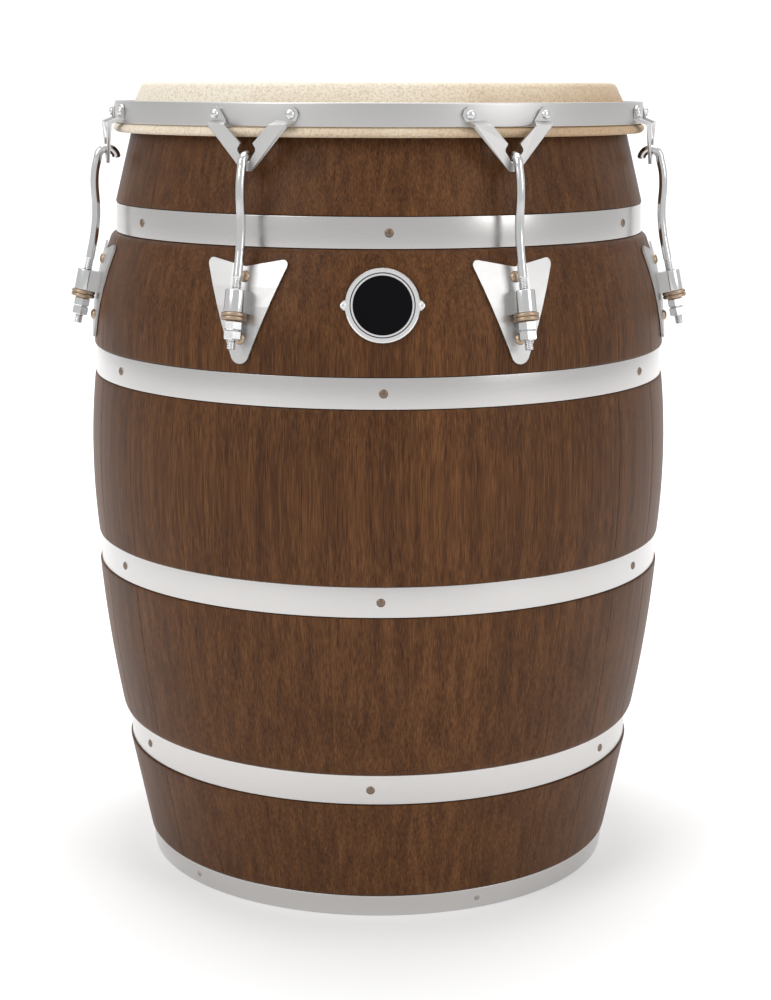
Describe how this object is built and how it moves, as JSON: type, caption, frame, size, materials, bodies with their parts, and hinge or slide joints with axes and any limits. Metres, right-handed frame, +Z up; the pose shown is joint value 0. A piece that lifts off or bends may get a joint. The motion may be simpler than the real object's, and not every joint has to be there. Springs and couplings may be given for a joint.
{
  "type": "bomba drum",
  "caption": "Barrel-shaped staved bomba drum with steel bands, a tucked hide head, and a crown hoop pulled down by hook rods with nuts.",
  "frame": {"origin": "floor level, at the middle of the footprint with its hardware; the barrel's own axis is upright at y = -0.0073 m, because the lug at the back stands out further than the belly at the front", "axes": "+Z up along the barrel, -Y the front with the badge, +X to the right as the picture shows it"},
  "size_m": [0.5308, 0.5271, 0.6864],
  "materials": {
    "stained_oak": "satin walnut stain",
    "band_steel": "fine brushed",
    "chrome": "polished",
    "bronze": "dull bronze plating",
    "hide": "raw hide, matt",
    "badge_metal": "bare, satin"
  },
  "bodies": {
    "root": {"stave_pair_01": "stained_oak", "stave_pair_02": "stained_oak", "stave_pair_03": "stained_oak", "stave_pair_04": "stained_oak", "stave_pair_05": "stained_oak", "stave_pair_06": "stained_oak", "stave_pair_07": "stained_oak", "stave_pair_08": "stained_oak", "stave_pair_09": "stained_oak", "stave_pair_10": "stained_oak", "stave_pair_11": "stained_oak", "stave_pair_12": "stained_oak", "shoulder_band": "band_steel", "upper_belly_band": "band_steel", "lower_belly_band": "band_steel", "foot_band": "band_steel", "base_ring": "band_steel", "head_hide": "hide", "badge_plate": "badge_metal", "side_plate_1": "chrome", "side_plate_2": "chrome", "side_plate_3": "chrome", "side_plate_4": "chrome", "side_plate_5": "chrome", "side_plate_6": "chrome", "side_plate_7": "chrome", "washer_pair_1": "bronze", "washer_pair_2": "bronze", "washer_pair_3": "bronze", "washer_pair_4": "bronze", "washer_pair_5": "bronze", "washer_pair_6": "bronze", "washer_pair_7": "bronze"},
    "crown": {"crown_hoop": "chrome", "flesh_hoop": "hide", "v_clamp_1": "chrome", "v_clamp_2": "chrome", "v_clamp_3": "chrome", "v_clamp_4": "chrome", "v_clamp_5": "chrome", "v_clamp_6": "chrome", "v_clamp_7": "chrome"},
    "rod_1": {"hook_rod_1": "chrome"},
    "nut_1": {"tuning_nut_1": "chrome"},
    "rod_2": {"hook_rod_2": "chrome"},
    "nut_2": {"tuning_nut_2": "chrome"},
    "rod_3": {"hook_rod_3": "chrome"},
    "nut_3": {"tuning_nut_3": "chrome"},
    "rod_4": {"hook_rod_4": "chrome"},
    "nut_4": {"tuning_nut_4": "chrome"},
    "rod_5": {"hook_rod_5": "chrome"},
    "nut_5": {"tuning_nut_5": "chrome"},
    "rod_6": {"hook_rod_6": "chrome"},
    "nut_6": {"tuning_nut_6": "chrome"},
    "rod_7": {"hook_rod_7": "chrome"},
    "nut_7": {"tuning_nut_7": "chrome"}
  },
  "joints": [
    {"name": "crown_slide", "type": "slide", "parent": "root", "child": "crown", "axis": [0, 0, 1], "range_m": [-0.008, 0.005]},
    {"name": "rod_1_slide", "type": "slide", "parent": "root", "child": "rod_1", "axis": [-0.0947, 0.1924, 0.9767], "range_m": [-0.0085, 0.0055]},
    {"name": "nut_1_turn", "type": "hinge", "parent": "root", "child": "nut_1", "pos_m": [0.11649, -0.24388, 0.498], "axis": [-0.0947, 0.1924, 0.9767], "range_deg": [-1360, 2160]},
    {"name": "rod_2_slide", "type": "slide", "parent": "root", "child": "rod_2", "axis": [-0.2095, 0.0459, 0.9767], "range_m": [-0.0085, 0.0055]},
    {"name": "nut_2_turn", "type": "hinge", "parent": "root", "child": "nut_2", "pos_m": [0.2576, -0.06373, 0.498], "axis": [-0.2095, 0.0459, 0.9767], "range_deg": [-1360, 2160]},
    {"name": "rod_3_slide", "type": "slide", "parent": "root", "child": "rod_3", "axis": [-0.1665, -0.1352, 0.9767], "range_m": [-0.0085, 0.0055]},
    {"name": "nut_3_turn", "type": "hinge", "parent": "root", "child": "nut_3", "pos_m": [0.20473, 0.15891, 0.498], "axis": [-0.1665, -0.1352, 0.9767], "range_deg": [-1360, 2160]},
    {"name": "rod_4_slide", "type": "slide", "parent": "root", "child": "rod_4", "axis": [0.0019, -0.2144, 0.9767], "range_m": [-0.0085, 0.0055]},
    {"name": "nut_4_turn", "type": "hinge", "parent": "root", "child": "nut_4", "pos_m": [-0.0023, 0.2564, 0.498], "axis": [0.0019, -0.2144, 0.9767], "range_deg": [-1360, 2160]},
    {"name": "rod_5_slide", "type": "slide", "parent": "root", "child": "rod_5", "axis": [0.1688, -0.1322, 0.9767], "range_m": [-0.0085, 0.0055]},
    {"name": "nut_5_turn", "type": "hinge", "parent": "root", "child": "nut_5", "pos_m": [-0.2076, 0.15531, 0.498], "axis": [0.1688, -0.1322, 0.9767], "range_deg": [-1360, 2160]},
    {"name": "rod_6_slide", "type": "slide", "parent": "root", "child": "rod_6", "axis": [0.2086, 0.0495, 0.9767], "range_m": [-0.0085, 0.0055]},
    {"name": "nut_6_turn", "type": "hinge", "parent": "root", "child": "nut_6", "pos_m": [-0.25657, -0.06822, 0.498], "axis": [0.2086, 0.0495, 0.9767], "range_deg": [-1360, 2160]},
    {"name": "rod_7_slide", "type": "slide", "parent": "root", "child": "rod_7", "axis": [0.0914, 0.194, 0.9767], "range_m": [-0.0085, 0.0055]},
    {"name": "nut_7_turn", "type": "hinge", "parent": "root", "child": "nut_7", "pos_m": [-0.11234, -0.24588, 0.498], "axis": [0.0914, 0.194, 0.9767], "range_deg": [-1360, 2160]}
  ],
  "couplings": [
    {"joint": "rod_1_slide", "follows": "crown_slide", "ratio": 1.0238},
    {"joint": "nut_1_turn", "follows": "crown_slide", "rad_per_m": -4558.7},
    {"joint": "rod_2_slide", "follows": "crown_slide", "ratio": 1.0238},
    {"joint": "nut_2_turn", "follows": "crown_slide", "rad_per_m": -4558.7},
    {"joint": "rod_3_slide", "follows": "crown_slide", "ratio": 1.0238},
    {"joint": "nut_3_turn", "follows": "crown_slide", "rad_per_m": -4558.7},
    {"joint": "rod_4_slide", "follows": "crown_slide", "ratio": 1.0238},
    {"joint": "nut_4_turn", "follows": "crown_slide", "rad_per_m": -4558.7},
    {"joint": "rod_5_slide", "follows": "crown_slide", "ratio": 1.0238},
    {"joint": "nut_5_turn", "follows": "crown_slide", "rad_per_m": -4558.7},
    {"joint": "rod_6_slide", "follows": "crown_slide", "ratio": 1.0238},
    {"joint": "nut_6_turn", "follows": "crown_slide", "rad_per_m": -4558.7},
    {"joint": "rod_7_slide", "follows": "crown_slide", "ratio": 1.0238},
    {"joint": "nut_7_turn", "follows": "crown_slide", "rad_per_m": -4558.7}
  ]
}
